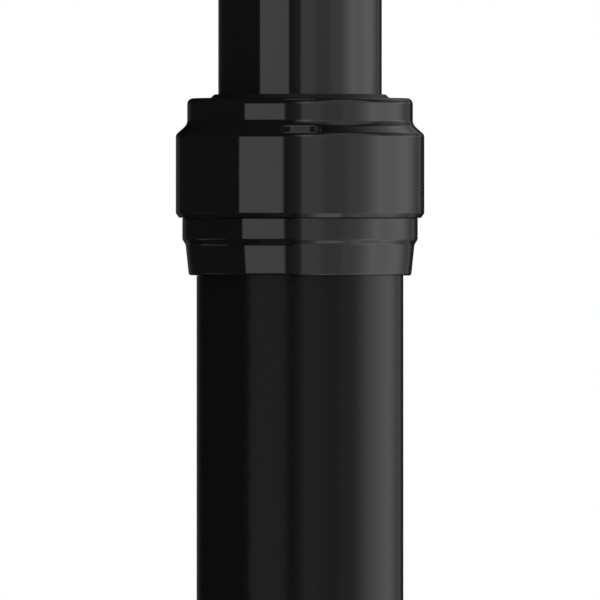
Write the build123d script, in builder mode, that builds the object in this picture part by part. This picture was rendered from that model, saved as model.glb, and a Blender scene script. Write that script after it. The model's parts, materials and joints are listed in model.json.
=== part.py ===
from build123d import *
from math import cos, radians, sin, tan
import os

# A dropper seatpost at full height. Millimetres, +Z up the post and +X to the front of the bicycle.
# The origin is on the post's axis, at the underside of the collar, where the frame's seat tube ends.

# Fits
slide_gap = 0.05
seat_gap = 0.05
free_gap = 0.3

# Travel
travel = 125.0
overlap = 70.0
head_gap = 0.8
tilt_limit_degrees = 12.0

# Stanchion, the tube that slides
stanchion_dia = 25.0
stanchion_wall = 1.8
stanchion_shoulder = 1.2
stanchion_end_rim = 1.4

# Shank, the tube that the frame clamps
shank_wall = 2.0
shank_bond_step = 0.4
shank_foot_chamfer = 0.6

# Collar base, bonded on the shank's top
base_foot_wall = 1.2
base_waist_wall = 1.7
base_band_wall = 2.2
base_foot_height = 4.6
base_step_height = 0.8
base_band_height = 3.3
base_foot_round = 0.4
base_waist_round = 0.8
base_band_round = 0.7
base_rim_round = 0.15
spigot_wall = 1.0
spigot_height = 9.3
spigot_chamfer = 0.4

# Collar nut, screwed on the base
nut_wall = 2.2
nut_neck_wall = 1.75
nut_barrel_height = 12.95
nut_flare_height = 1.55
nut_neck_height = 4.0
nut_web = 2.0
nut_crown_round = 0.9
nut_flare_round = 1.4
nut_shoulder_round = 0.85
nut_skirt_chamfer = 0.3
nut_skirt_height = 0.65
nut_skirt_round = 0.2
nut_edge_round = 0.2

# Bushings and seals in the collar
bushing_wall = 1.25
bushing_length = 20.0
bushing_flange = 1.2
seal_width = 3.0
seal_body_height = 3.5
seal_lip_height = 0.6
seal_lip_crown = 0.6
seal_lip_slope = 0.6
seal_relief = 0.5
seal_relief_rim = 0.8
collar_o_ring_dia = 0.9

# Lower bushing and keys on the stanchion
lower_bushing_rim = 4.0
lower_bushing_height = 12.0
lower_bushing_groove = 0.5
key_dia = 3.0
key_length = 12.0
key_spacing = 2.0
key_count = 3

# Hydraulic cartridge in the stanchion
cylinder_wall = 1.6
cylinder_side_gap = 0.1
circlip_thickness = 1.2
circlip_groove = 0.6
circlip_width = 1.7
circlip_gap_width = 5.0
guide_flange = 2.0
guide_length = 13.0
topout_height = 3.0
topout_width = 2.8
seal_section = 2.0
rod_seal_share = 0.6
piston_height = 10.0
piston_nut_height = 4.0
piston_nut_flats = 10.0
oil_reserve = 6.0
gas_reserve = 12.0
floating_piston_height = 9.0
floating_piston_cup = 4.0
cap_height = 10.0
cap_flange = 2.0
fill_screw_dia = 4.0
fill_screw_height = 5.0
fill_screw_hex = 2.0
rod_dia = 9.0
rod_thread_dia = 8.0
rod_piston_dia = 7.0
rod_bore_dia = 3.8
rod_tip = 1.0
rod_port_dia = 1.6
rod_port_drop = 2.5
needle_dia = 2.8
poppet_dia = 5.6
poppet_height = 1.2
poppet_cone = 1.2
needle_seal_width = 0.9
needle_seal_height = 2.0

# Foot of the shank
bumper_height = 3.0
bumper_width = 4.0
insert_wall = 1.0
insert_ring = 2.0
plug_length = 14.0
plug_flange = 3.5
plug_flange_inset = 0.4
tool_notch_width = 4.0
tool_notch_depth = 2.0
tool_notch_count = 4
rod_nut_height = 4.0
rod_nut_flats = 12.0

# Lever and cable anchor under the shank
pivot_drop = 10.0
pivot_dia = 3.0
pivot_clip_width = 1.2
pivot_clip_thickness = 0.6
nose_arm = 3.5
cable_arm = 7.0
nose_dia = 5.0
lever_width = 8.0
eye_wall = 1.1
lever_limit_degrees = 22.0
barrel_dia = 5.5
cable_hole_dia = 1.5
cable_slot_width = 2.4
key_access_dia = 3.4
grub_dia = 2.6
grub_length = 2.6
grub_hex = 1.3
grub_bite = 0.2
cheek_wall = 2.6
cheek_round = 2.5
stop_height = 7.5
stop_gap = 1.3
stop_wall = 1.2
ferrule_dia = 5.2
ferrule_depth = 5.0
cable_way_dia = 2.0

# Saddle head on the stanchion
sleeve_wall = 1.5
sleeve_height = 6.4
sleeve_chamfer = 0.8
ear_thickness = 8.0
ear_nose_dia = 13.0
ear_round = 1.2
bolt_side_gap = 1.25
seat_floor = 2.5
seat_half_length = 11.5
seat_rise = 4.0
seat_width = 28.0
seat_corner_round = 5.0
seat_edge_round = 0.8

# Saddle clamp
rail_dia = 7.0
rail_spacing = 44.0
rail_height = 7.5
nut_rise = 9.5
jaw_gap = 1.2
jaw_length = 40.0
jaw_wall = 2.5
jaw_floor = 3.0
jaw_round = 1.5
jaw_corner_round = 3.0
bridge_half_length = 13.3
bridge_overlap = 1.5
strap_half_length = 10.0
strap_thickness = 4.5
trough_wall = 2.2
barrel_nut_dia = 10.0
barrel_nut_length = 16.0
barrel_nut_round = 0.5
nut_slot_width = 1.2
nut_slot_depth = 1.0

# Clamp bolts
bolt_dia = 5.0
bolt_head_dia = 8.5
bolt_head_height = 5.0
bolt_hex = 4.0
bolt_hex_depth = 2.5
bolt_tip = 2.5
bolt_chamfer = 0.5
washer_dia = 9.5
washer_thickness = 1.0

# Radii of the sliding fit, from the middle out
stanchion_r = stanchion_dia / 2
stanchion_bore_r = stanchion_r - stanchion_wall
shank_bore_r = stanchion_r + slide_gap + bushing_wall
shank_r = shank_bore_r + shank_wall
bond_r = shank_r - shank_bond_step
key_circle_r = (stanchion_r + shank_bore_r) / 2
key_r = key_dia / 2
cylinder_r = stanchion_bore_r - cylinder_side_gap
cylinder_bore_r = cylinder_r - cylinder_wall
rod_r = rod_dia / 2
rod_bore_r = rod_bore_dia / 2
needle_r = needle_dia / 2
plug_r = shank_bore_r - insert_wall

# Collar: radii and heights
spigot_r = shank_r + spigot_wall
nut_r = spigot_r + nut_wall
seal_pocket_r = stanchion_r + seal_width
nut_neck_r = seal_pocket_r + nut_neck_wall
lip_base_r = stanchion_r + seal_lip_crown + seal_lip_slope
base_waist_z = base_foot_height
base_band_z = base_waist_z + base_step_height
nut_z = base_band_z + base_band_height
spigot_top = nut_z + spigot_height
flare_z = nut_z + nut_barrel_height
neck_z = flare_z + nut_flare_height
nut_top = neck_z + nut_neck_height
flange_top = spigot_top + bushing_flange
seal_top = nut_top - nut_web
seal_z = seal_top - seal_body_height
lip_top = nut_top + seal_lip_height

# Stanchion and cartridge, upwards from the stanchion's lower end
stanchion_z = -overlap
circlip_z = stanchion_z + stanchion_end_rim
guide_z = circlip_z + circlip_thickness
cylinder_z = guide_z + guide_flange
guide_top = cylinder_z + guide_length
topout_top = guide_top + topout_height
piston_z = topout_top + seat_gap
piston_top = piston_z + piston_height
rod_top = piston_top + piston_nut_height + rod_tip
poppet_z = rod_top + seat_gap
poppet_top = poppet_z + poppet_cone + poppet_height
floating_rise = travel * (rod_dia / 2 / cylinder_bore_r) ** 2
floating_z = poppet_top + travel + oil_reserve - floating_rise
floating_top = floating_z + floating_piston_height
cap_z = floating_top + floating_rise + gas_reserve
cylinder_top = cap_z + cap_height
cap_top = cylinder_top + cap_flange
bushing_groove_r = stanchion_r - lower_bushing_groove
lower_bushing_z = stanchion_z + lower_bushing_rim
lower_bushing_top = lower_bushing_z + lower_bushing_height
key_z = lower_bushing_top + key_spacing

# Foot of the shank, downwards from the end of the travel
bumper_top = -(overlap + travel) - seat_gap
plug_top = bumper_top - bumper_height
tube_z = plug_top - plug_length
insert_z = tube_z - insert_ring
plug_z = insert_z - plug_flange
plug_flange_r = shank_r - plug_flange_inset
pivot_z = plug_z - pivot_drop
nose_r = nose_dia / 2
barrel_r = barrel_dia / 2
eye_r = barrel_r + slide_gap + eye_wall
barrel_x = nose_arm + cable_arm
cheek_y = lever_width / 2 + free_gap
cheek_outer_y = cheek_y + cheek_wall
lever_swing = cable_arm * sin(radians(lever_limit_degrees)) + eye_r
stop_top = pivot_z - lever_swing - stop_gap
stop_z = stop_top - stop_height
needle_z = pivot_z + nose_r + seat_gap

# Head and clamp, upwards from the wiper at full drop
sleeve_r = stanchion_r + sleeve_wall
head_z = lip_top + travel + head_gap
ear_z = head_z + sleeve_height
ear_top = ear_z + ear_thickness
seat_z = ear_top + seat_floor
rail_z = seat_z + rail_height
tilt_z = rail_z + nut_rise
seat_r = tilt_z - seat_z
cradle_r = seat_r - seat_gap
rail_r = rail_dia / 2
rail_y = rail_spacing / 2
jaw_half_width = rail_r + jaw_wall
washer_r = washer_dia / 2
bolt_r = bolt_dia / 2
bolt_x = sleeve_r + bolt_side_gap + washer_r
barrel_nut_r = barrel_nut_dia / 2
trough_r = barrel_nut_r + slide_gap
washer_z = ear_z - seat_gap - washer_thickness
bolt_top = tilt_z + barrel_nut_r + bolt_tip
tilt_limit = radians(tilt_limit_degrees)
bolt_shift = bolt_x * (1 - cos(tilt_limit))

os.makedirs("parts", exist_ok=True)

# Shank tube, with one groove inside for each key
with BuildPart() as outer_tube:
    with BuildSketch(Plane.XZ):
        with BuildLine():
            Polyline(
                (shank_bore_r, tube_z),
                (shank_r, tube_z),
                (shank_r, 0),
                (bond_r, 0),
                (bond_r, spigot_top),
                (shank_bore_r, spigot_top),
                close=True,
            )
        make_face()
    revolve(axis=Axis.Z)
    with BuildSketch(Plane.XY.offset(plug_top)):
        with PolarLocations(key_circle_r, key_count):
            Circle(key_r + slide_gap)
    extrude(amount=spigot_top - plug_top, mode=Mode.SUBTRACT)
outer_tube.part.label = "outer_tube"
export_step(outer_tube.part, "parts/outer_tube.step")

# Lower ring and two stepped bands of the collar, with the thread spigot above them
with BuildPart() as collar_base:
    with BuildSketch(Plane.XZ):
        with BuildLine():
            FilletPolyline(
                (bond_r, 0),
                (shank_r + base_foot_wall, 0),
                (shank_r + base_waist_wall, base_waist_z),
                (shank_r + base_band_wall, base_band_z),
                (shank_r + base_band_wall, nut_z),
                (spigot_r, nut_z),
                (spigot_r, spigot_top),
                (bond_r, spigot_top),
                radius=[
                    0,
                    base_foot_round,
                    base_waist_round,
                    base_band_round,
                    base_rim_round,
                    0,
                    spigot_chamfer,
                    0,
                ],
                close=True,
            )
        make_face()
    revolve(axis=Axis.Z)
collar_base.part.label = "collar_base"
export_step(collar_base.part, "parts/collar_base.step")

# Smooth nut: skirt, barrel, flare and neck outside, thread bore and seal pocket inside
with BuildPart() as collar_nut:
    with BuildSketch(Plane.XZ):
        with BuildLine():
            FilletPolyline(
                (spigot_r, nut_z),
                (nut_r - nut_skirt_chamfer - nut_edge_round, nut_z),
                (nut_r, nut_z + nut_skirt_height),
                (nut_r, flare_z),
                (nut_neck_r, neck_z),
                (nut_neck_r, nut_top),
                (lip_base_r + slide_gap, nut_top),
                (lip_base_r + slide_gap, seal_top),
                (seal_pocket_r, seal_top),
                (seal_pocket_r, flange_top),
                (spigot_r, flange_top),
                radius=[
                    0,
                    nut_skirt_round,
                    nut_edge_round,
                    nut_shoulder_round,
                    nut_flare_round,
                    nut_crown_round,
                    nut_edge_round,
                    0,
                    0,
                    0,
                    0,
                ],
                close=True,
            )
        make_face()
    revolve(axis=Axis.Z)
    with BuildSketch(Plane.XY.offset(nut_z)):
        Circle(spigot_r + collar_o_ring_dia)
    extrude(amount=collar_o_ring_dia, mode=Mode.SUBTRACT)
collar_nut.part.label = "collar_nut"
export_step(collar_nut.part, "parts/collar_nut.step")

# Ring that keeps water out of the nut's thread
with BuildPart() as collar_o_ring:
    with BuildSketch(Plane.XZ):
        with Locations((spigot_r + collar_o_ring_dia / 2, nut_z + collar_o_ring_dia / 2)):
            Circle(collar_o_ring_dia / 2 - slide_gap)
    revolve(axis=Axis.Z)
collar_o_ring.part.label = "collar_o_ring"
export_step(collar_o_ring.part, "parts/collar_o_ring.step")

# Guide bushing in the shank's mouth, with ribs that sit in the key grooves
with BuildPart() as upper_bushing:
    with BuildSketch(Plane.XY.offset(spigot_top - bushing_length)):
        Circle(shank_bore_r)
        with PolarLocations(key_circle_r, key_count):
            Circle(key_r)
    extrude(amount=bushing_length)
    with BuildSketch(Plane.XY.offset(spigot_top)):
        Circle(spigot_r - free_gap)
    extrude(amount=bushing_flange)
    with BuildSketch(Plane.XY.offset(spigot_top - bushing_length)):
        Circle(stanchion_r + slide_gap)
    extrude(amount=bushing_length + bushing_flange, mode=Mode.SUBTRACT)
upper_bushing.part.label = "upper_bushing"
export_step(upper_bushing.part, "parts/upper_bushing.step")

# Oiled foam ring between the bushing and the wiper
with BuildPart() as foam_ring:
    with BuildSketch(Plane.XY.offset(flange_top)):
        Circle(seal_pocket_r)
        Circle(stanchion_r + slide_gap, mode=Mode.SUBTRACT)
    extrude(amount=seal_z - flange_top)
foam_ring.part.label = "foam_ring"
export_step(foam_ring.part, "parts/foam_ring.step")

# Wiper seal: body in the nut's pocket, sloped lip above the nut, two wiping edges inside
with BuildPart() as wiper_seal:
    with BuildSketch(Plane.XZ):
        with BuildLine():
            Polyline(
                (stanchion_r + slide_gap, seal_z),
                (seal_pocket_r, seal_z),
                (seal_pocket_r, seal_top),
                (lip_base_r, seal_top),
                (lip_base_r, nut_top),
                (stanchion_r + seal_lip_crown, lip_top),
                (stanchion_r + slide_gap, lip_top),
                (stanchion_r + slide_gap, lip_top - seal_relief_rim),
                (stanchion_r + slide_gap + seal_relief, seal_top),
                (stanchion_r + slide_gap + seal_relief, seal_z + 2 * seal_relief_rim),
                (stanchion_r + slide_gap, seal_z + seal_relief_rim),
                close=True,
            )
        make_face()
    revolve(axis=Axis.Z)
wiper_seal.part.label = "wiper_seal"
export_step(wiper_seal.part, "parts/wiper_seal.step")

# Sleeve bonded in the shank's lower end, with a thread inside and a ring that shows below the tube
with BuildPart() as tube_end_insert:
    with BuildSketch(Plane.XZ):
        with BuildLine():
            Polyline(
                (plug_r, insert_z),
                (shank_r - shank_foot_chamfer, insert_z),
                (shank_r, insert_z + shank_foot_chamfer),
                (shank_r, tube_z),
                (shank_bore_r, tube_z),
                (shank_bore_r, plug_top),
                (plug_r, plug_top),
                close=True,
            )
        make_face()
    revolve(axis=Axis.Z)
tube_end_insert.part.label = "tube_end_insert"
export_step(tube_end_insert.part, "parts/tube_end_insert.step")

# Bumper that the stanchion lands on at full drop
with BuildPart() as bottom_bumper:
    with BuildSketch(Plane.XY.offset(plug_top)):
        Circle(shank_bore_r - free_gap)
        Circle(shank_bore_r - free_gap - bumper_width, mode=Mode.SUBTRACT)
    extrude(amount=bumper_height)
bottom_bumper.part.label = "bottom_bumper"
export_step(bottom_bumper.part, "parts/bottom_bumper.step")

# Actuator body: threaded plug, flange with tool notches, two cheeks and the cable housing stop
with BuildPart() as actuator_body:
    with BuildSketch(Plane.XY.offset(insert_z)):
        Circle(plug_r)
    extrude(amount=plug_top - insert_z)
    with BuildSketch(Plane.XY.offset(plug_z)):
        Circle(plug_flange_r)
        with PolarLocations(plug_flange_r, tool_notch_count, start_angle=45):
            Rectangle(2 * tool_notch_depth, tool_notch_width, mode=Mode.SUBTRACT)
    extrude(amount=plug_flange)
    with BuildSketch(Plane.XZ):
        with BuildLine():
            FilletPolyline(
                (-nose_r - free_gap, plug_z),
                (barrel_x + ferrule_dia / 2 + stop_wall, plug_z),
                (barrel_x + ferrule_dia / 2 + stop_wall, stop_z),
                (barrel_x - ferrule_dia / 2 - stop_wall, stop_z),
                (-nose_r - free_gap, pivot_z - nose_r),
                radius=[0, 0, stop_wall, cheek_round, cheek_round],
                close=True,
            )
        make_face()
    extrude(amount=cheek_outer_y, both=True)
    with BuildSketch(Plane.XZ):
        with Locations((barrel_x / 2, (plug_z + stop_top) / 2)):
            Rectangle(4 * barrel_x, plug_z - stop_top)
    extrude(amount=cheek_y, both=True, mode=Mode.SUBTRACT)
    with BuildSketch(Plane.XZ):
        with Locations((nose_arm, pivot_z)):
            Circle(pivot_dia / 2)
    extrude(amount=cheek_outer_y, both=True, mode=Mode.SUBTRACT)
    with BuildSketch(Plane.XZ):
        with Locations((barrel_x, pivot_z)):
            Circle(key_access_dia / 2)
    extrude(amount=cheek_outer_y, both=True, mode=Mode.SUBTRACT)
    with BuildSketch(Plane.XY.offset(stop_z)):
        with Locations((barrel_x, 0)):
            Circle(ferrule_dia / 2)
    extrude(amount=ferrule_depth, mode=Mode.SUBTRACT)
    with BuildSketch(Plane.XY.offset(stop_z)):
        with Locations((barrel_x, 0)):
            Circle(cable_way_dia / 2)
    extrude(amount=stop_height, mode=Mode.SUBTRACT)
    with BuildSketch(Plane.XY.offset(plug_z)):
        Circle(rod_bore_r)
    extrude(amount=plug_top - plug_z, mode=Mode.SUBTRACT)
    with BuildSketch(Plane.XY.offset(insert_z)):
        Circle(rod_thread_dia / 2)
    extrude(amount=plug_top - insert_z, mode=Mode.SUBTRACT)
    with BuildSketch(Plane.XY.offset(stop_z)):
        Circle(plug_flange_r)
    extrude(amount=plug_top - stop_z, mode=Mode.INTERSECT)
actuator_body.part.label = "actuator_body"
export_step(actuator_body.part, "parts/actuator_body.step")

# Pin that the lever turns on, and the two clips in its ends
with BuildPart() as lever_pivot_pin:
    with BuildSketch(Plane.XZ):
        with Locations((nose_arm, pivot_z)):
            Circle(pivot_dia / 2)
    extrude(amount=cheek_outer_y + 2 * pivot_clip_thickness, both=True)
lever_pivot_pin.part.label = "lever_pivot_pin"
export_step(lever_pivot_pin.part, "parts/lever_pivot_pin.step")

with BuildPart() as pivot_clips:
    with BuildSketch(Plane.XZ.offset(cheek_outer_y)):
        with Locations((nose_arm, pivot_z)):
            Circle(pivot_dia / 2 + pivot_clip_width)
            Circle(pivot_dia / 2, mode=Mode.SUBTRACT)
    extrude(amount=pivot_clip_thickness)
    mirror(about=Plane.XZ)
pivot_clips.part.label = "pivot_clips"
export_step(pivot_clips.part, "parts/pivot_clips.step")

# Lever: nose under the valve needle, hub on the pin, eye round the cable barrel
with BuildPart() as actuator_lever:
    with BuildSketch(Plane.XZ):
        with Locations((0, pivot_z)):
            Circle(nose_r)
        with Locations((barrel_x, pivot_z)):
            Circle(eye_r)
        make_hull()
        with Locations((nose_arm, pivot_z)):
            Circle(pivot_dia / 2 + slide_gap, mode=Mode.SUBTRACT)
        with Locations((barrel_x, pivot_z)):
            Circle(barrel_r + slide_gap, mode=Mode.SUBTRACT)
    extrude(amount=lever_width / 2, both=True)
    cable_sweep = eye_r * tan(radians(lever_limit_degrees)) + cable_hole_dia / 2
    with BuildSketch(Plane.XY.offset(pivot_z - eye_r)):
        with Locations((barrel_x, 0)):
            Rectangle(2 * cable_sweep, cable_slot_width)
    extrude(amount=2 * eye_r, mode=Mode.SUBTRACT)
actuator_lever.part.label = "actuator_lever"
export_step(actuator_lever.part, "parts/actuator_lever.step")

# Barrel that holds the cable's end, with its cable hole and the thread of its set screw
with BuildPart() as cable_barrel:
    with BuildSketch(Plane.XZ):
        with Locations((barrel_x, pivot_z)):
            Circle(barrel_r)
    extrude(amount=lever_width / 2, both=True)
    with BuildSketch(Plane.XY.offset(pivot_z - barrel_r)):
        with Locations((barrel_x, 0)):
            Circle(cable_hole_dia / 2)
    extrude(amount=barrel_dia, mode=Mode.SUBTRACT)
    with BuildSketch(Plane.XZ.offset(cable_hole_dia / 2 - grub_bite)):
        with Locations((barrel_x, pivot_z)):
            Circle(grub_dia / 2)
    extrude(amount=lever_width / 2, mode=Mode.SUBTRACT)
cable_barrel.part.label = "cable_barrel"
export_step(cable_barrel.part, "parts/cable_barrel.step")

with BuildPart() as cable_set_screw:
    with BuildSketch(Plane.XZ.offset(cable_hole_dia / 2 + seat_gap)):
        with Locations((barrel_x, pivot_z)):
            Circle(grub_dia / 2)
    extrude(amount=grub_length)
    with BuildSketch(Plane.XZ.offset(cable_hole_dia / 2 + seat_gap + grub_length / 2)):
        with Locations((barrel_x, pivot_z)):
            RegularPolygon(grub_hex / 2, 6, major_radius=False)
    extrude(amount=grub_length / 2, mode=Mode.SUBTRACT)
cable_set_screw.part.label = "cable_set_screw"
export_step(cable_set_screw.part, "parts/cable_set_screw.step")

# Hollow piston rod, screwed in the actuator body, with cross ports under the piston
with BuildPart() as cartridge_rod:
    with BuildSketch(Plane.XZ):
        with BuildLine():
            Polyline(
                (rod_bore_r, insert_z + needle_seal_height),
                (needle_r + slide_gap + needle_seal_width, insert_z + needle_seal_height),
                (needle_r + slide_gap + needle_seal_width, insert_z),
                (rod_thread_dia / 2, insert_z),
                (rod_thread_dia / 2, plug_top + rod_nut_height),
                (rod_r, plug_top + rod_nut_height),
                (rod_r, piston_z),
                (rod_piston_dia / 2, piston_z),
                (rod_piston_dia / 2, rod_top),
                (rod_bore_r, rod_top),
                close=True,
            )
        make_face()
    revolve(axis=Axis.Z)
    with BuildSketch(Plane.XZ):
        with Locations((0, piston_z - rod_port_drop)):
            Circle(rod_port_dia / 2)
    extrude(amount=rod_dia, both=True, mode=Mode.SUBTRACT)
cartridge_rod.part.label = "cartridge_rod"
export_step(cartridge_rod.part, "parts/cartridge_rod.step")

with BuildPart() as needle_seal:
    with BuildSketch(Plane.XY.offset(insert_z)):
        Circle(needle_r + slide_gap + needle_seal_width)
        Circle(needle_r + slide_gap, mode=Mode.SUBTRACT)
    extrude(amount=needle_seal_height)
needle_seal.part.label = "needle_seal"
export_step(needle_seal.part, "parts/needle_seal.step")

with BuildPart() as rod_lock_nut:
    with BuildSketch(Plane.XY.offset(plug_top)):
        RegularPolygon(rod_nut_flats / 2, 6, major_radius=False)
        Circle(rod_thread_dia / 2, mode=Mode.SUBTRACT)
    extrude(amount=rod_nut_height)
rod_lock_nut.part.label = "rod_lock_nut"
export_step(rod_lock_nut.part, "parts/rod_lock_nut.step")

# Valve needle: ball end on the lever's nose, poppet head on the rod's top
with BuildPart() as valve_needle:
    with BuildSketch(Plane.XZ):
        with BuildLine():
            Line((0, needle_z), (0, poppet_top))
            Line((0, poppet_top), (poppet_dia / 2, poppet_top))
            Line((poppet_dia / 2, poppet_top), (poppet_dia / 2, poppet_z + poppet_cone))
            Line((poppet_dia / 2, poppet_z + poppet_cone), (needle_r, poppet_z))
            Line((needle_r, poppet_z), (needle_r, needle_z + needle_r))
            RadiusArc((needle_r, needle_z + needle_r), (0, needle_z), needle_r)
        make_face()
    revolve(axis=Axis.Z)
valve_needle.part.label = "valve_needle"
export_step(valve_needle.part, "parts/valve_needle.step")

# Main piston, its seal and its nut
seal_groove_z = piston_z + (piston_height - seal_section) / 2
with BuildPart() as main_piston:
    with BuildSketch(Plane.XY.offset(piston_z)):
        Circle(cylinder_bore_r - slide_gap)
        Circle(rod_piston_dia / 2, mode=Mode.SUBTRACT)
    extrude(amount=piston_height)
    with BuildSketch(Plane.XY.offset(seal_groove_z)):
        Circle(cylinder_bore_r)
        Circle(cylinder_bore_r - slide_gap - seal_section, mode=Mode.SUBTRACT)
    extrude(amount=seal_section, mode=Mode.SUBTRACT)
main_piston.part.label = "main_piston"
export_step(main_piston.part, "parts/main_piston.step")


def o_ring(outer_r, middle_z):
    """A round ring of the cartridge's seal section, just inside the radius that it seals on."""
    with BuildPart() as ring:
        with BuildSketch(Plane.XZ):
            with Locations((outer_r - seal_section / 2, middle_z)):
                Circle(seal_section / 2 - slide_gap)
        revolve(axis=Axis.Z)
    return ring.part


with BuildPart() as piston_seal:
    add(o_ring(cylinder_bore_r, seal_groove_z + seal_section / 2))
piston_seal.part.label = "piston_seal"
export_step(piston_seal.part, "parts/piston_seal.step")

with BuildPart() as piston_nut:
    with BuildSketch(Plane.XY.offset(piston_top)):
        RegularPolygon(piston_nut_flats / 2, 6, major_radius=False)
        Circle(rod_piston_dia / 2, mode=Mode.SUBTRACT)
    extrude(amount=piston_nut_height)
piston_nut.part.label = "piston_nut"
export_step(piston_nut.part, "parts/piston_nut.step")

# Stanchion tube: shoulder above the cartridge, clip groove, bushing groove and key pockets at its foot
stanchion_top = ear_top
with BuildPart() as stanchion_tube:
    with BuildSketch(Plane.XZ):
        with BuildLine():
            Polyline(
                (stanchion_bore_r, stanchion_z),
                (stanchion_r, stanchion_z),
                (stanchion_r, lower_bushing_z),
                (bushing_groove_r, lower_bushing_z),
                (bushing_groove_r, lower_bushing_top),
                (stanchion_r, lower_bushing_top),
                (stanchion_r, stanchion_top),
                (stanchion_bore_r - stanchion_shoulder, stanchion_top),
                (stanchion_bore_r - stanchion_shoulder, cap_top),
                (stanchion_bore_r, cap_top),
                (stanchion_bore_r, guide_z),
                (stanchion_bore_r + circlip_groove, guide_z),
                (stanchion_bore_r + circlip_groove, circlip_z),
                (stanchion_bore_r, circlip_z),
                close=True,
            )
        make_face()
    revolve(axis=Axis.Z)
    with BuildSketch(Plane.XY.offset(key_z)):
        with PolarLocations(key_circle_r, key_count):
            Circle(key_r)
    extrude(amount=key_length, mode=Mode.SUBTRACT)
stanchion_tube.part.label = "stanchion_tube"
export_step(stanchion_tube.part, "parts/stanchion_tube.step")

with BuildPart() as lower_bushing:
    with BuildSketch(Plane.XY.offset(lower_bushing_z)):
        Circle(shank_bore_r - slide_gap)
        Circle(bushing_groove_r, mode=Mode.SUBTRACT)
    extrude(amount=lower_bushing_height)
lower_bushing.part.label = "lower_bushing"
export_step(lower_bushing.part, "parts/lower_bushing.step")

# Brass keys, half in the stanchion and half in the shank's grooves
with BuildPart() as anti_rotation_keys:
    with BuildSketch(Plane.XY.offset(key_z)):
        with PolarLocations(key_circle_r, key_count):
            Circle(key_r)
    extrude(amount=key_length)
anti_rotation_keys.part.label = "anti_rotation_keys"
export_step(anti_rotation_keys.part, "parts/anti_rotation_keys.step")

# Cartridge cylinder and what closes its ends
with BuildPart() as cartridge_cylinder:
    with BuildSketch(Plane.XY.offset(cylinder_z)):
        Circle(cylinder_r)
        Circle(cylinder_bore_r, mode=Mode.SUBTRACT)
    extrude(amount=cylinder_top - cylinder_z)
cartridge_cylinder.part.label = "cartridge_cylinder"
export_step(cartridge_cylinder.part, "parts/cartridge_cylinder.step")

guide_seal_z = cylinder_z + guide_length * rod_seal_share
with BuildPart() as rod_guide:
    with BuildSketch(Plane.XZ):
        with BuildLine():
            Polyline(
                (rod_r + slide_gap, guide_z),
                (cylinder_r, guide_z),
                (cylinder_r, cylinder_z),
                (cylinder_bore_r, cylinder_z),
                (cylinder_bore_r, guide_seal_z),
                (cylinder_bore_r - seal_section, guide_seal_z),
                (cylinder_bore_r - seal_section, guide_seal_z + seal_section),
                (cylinder_bore_r, guide_seal_z + seal_section),
                (cylinder_bore_r, guide_top),
                (rod_r + slide_gap + seal_section, guide_top),
                (rod_r + slide_gap + seal_section, guide_top - seal_section),
                (rod_r + slide_gap, guide_top - seal_section),
                close=True,
            )
        make_face()
    revolve(axis=Axis.Z)
rod_guide.part.label = "rod_guide"
export_step(rod_guide.part, "parts/rod_guide.step")

with BuildPart() as guide_o_ring:
    add(o_ring(cylinder_bore_r, guide_seal_z + seal_section / 2))
guide_o_ring.part.label = "guide_o_ring"
export_step(guide_o_ring.part, "parts/guide_o_ring.step")

with BuildPart() as rod_seal:
    with BuildSketch(Plane.XY.offset(guide_top - seal_section)):
        Circle(rod_r + slide_gap + seal_section)
        Circle(rod_r + slide_gap, mode=Mode.SUBTRACT)
    extrude(amount=seal_section)
rod_seal.part.label = "rod_seal"
export_step(rod_seal.part, "parts/rod_seal.step")

with BuildPart() as topout_bumper:
    with BuildSketch(Plane.XY.offset(guide_top)):
        Circle(rod_r + slide_gap + topout_width)
        Circle(rod_r + slide_gap, mode=Mode.SUBTRACT)
    extrude(amount=topout_height)
topout_bumper.part.label = "topout_bumper"
export_step(topout_bumper.part, "parts/topout_bumper.step")

with BuildPart() as cartridge_circlip:
    with BuildSketch(Plane.XY.offset(circlip_z)):
        Circle(stanchion_bore_r + circlip_groove)
        Circle(stanchion_bore_r + circlip_groove - circlip_width, mode=Mode.SUBTRACT)
        with Locations((stanchion_bore_r, 0)):
            Rectangle(2 * circlip_width, circlip_gap_width, mode=Mode.SUBTRACT)
    extrude(amount=circlip_thickness)
cartridge_circlip.part.label = "cartridge_circlip"
export_step(cartridge_circlip.part, "parts/cartridge_circlip.step")

cap_seal_z = cap_z + (cap_height - seal_section) / 2
with BuildPart() as cartridge_cap:
    with BuildSketch(Plane.XZ):
        with BuildLine():
            Polyline(
                (0, cap_z),
                (cylinder_bore_r, cap_z),
                (cylinder_bore_r, cap_seal_z),
                (cylinder_bore_r - seal_section, cap_seal_z),
                (cylinder_bore_r - seal_section, cap_seal_z + seal_section),
                (cylinder_bore_r, cap_seal_z + seal_section),
                (cylinder_bore_r, cylinder_top),
                (cylinder_r, cylinder_top),
                (cylinder_r, cap_top),
                (0, cap_top),
                close=True,
            )
        make_face()
    revolve(axis=Axis.Z)
    with BuildSketch(Plane.XY.offset(cap_top - fill_screw_height)):
        Circle(fill_screw_dia / 2)
    extrude(amount=fill_screw_height, mode=Mode.SUBTRACT)
cartridge_cap.part.label = "cartridge_cap"
export_step(cartridge_cap.part, "parts/cartridge_cap.step")

with BuildPart() as cap_o_ring:
    add(o_ring(cylinder_bore_r, cap_seal_z + seal_section / 2))
cap_o_ring.part.label = "cap_o_ring"
export_step(cap_o_ring.part, "parts/cap_o_ring.step")

with BuildPart() as gas_fill_screw:
    with BuildSketch(Plane.XY.offset(cap_top - fill_screw_height)):
        Circle(fill_screw_dia / 2)
    extrude(amount=fill_screw_height)
    with BuildSketch(Plane.XY.offset(cap_top - fill_screw_height / 2)):
        RegularPolygon(fill_screw_hex / 2, 6, major_radius=False)
    extrude(amount=fill_screw_height / 2, mode=Mode.SUBTRACT)
gas_fill_screw.part.label = "gas_fill_screw"
export_step(gas_fill_screw.part, "parts/gas_fill_screw.step")

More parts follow.
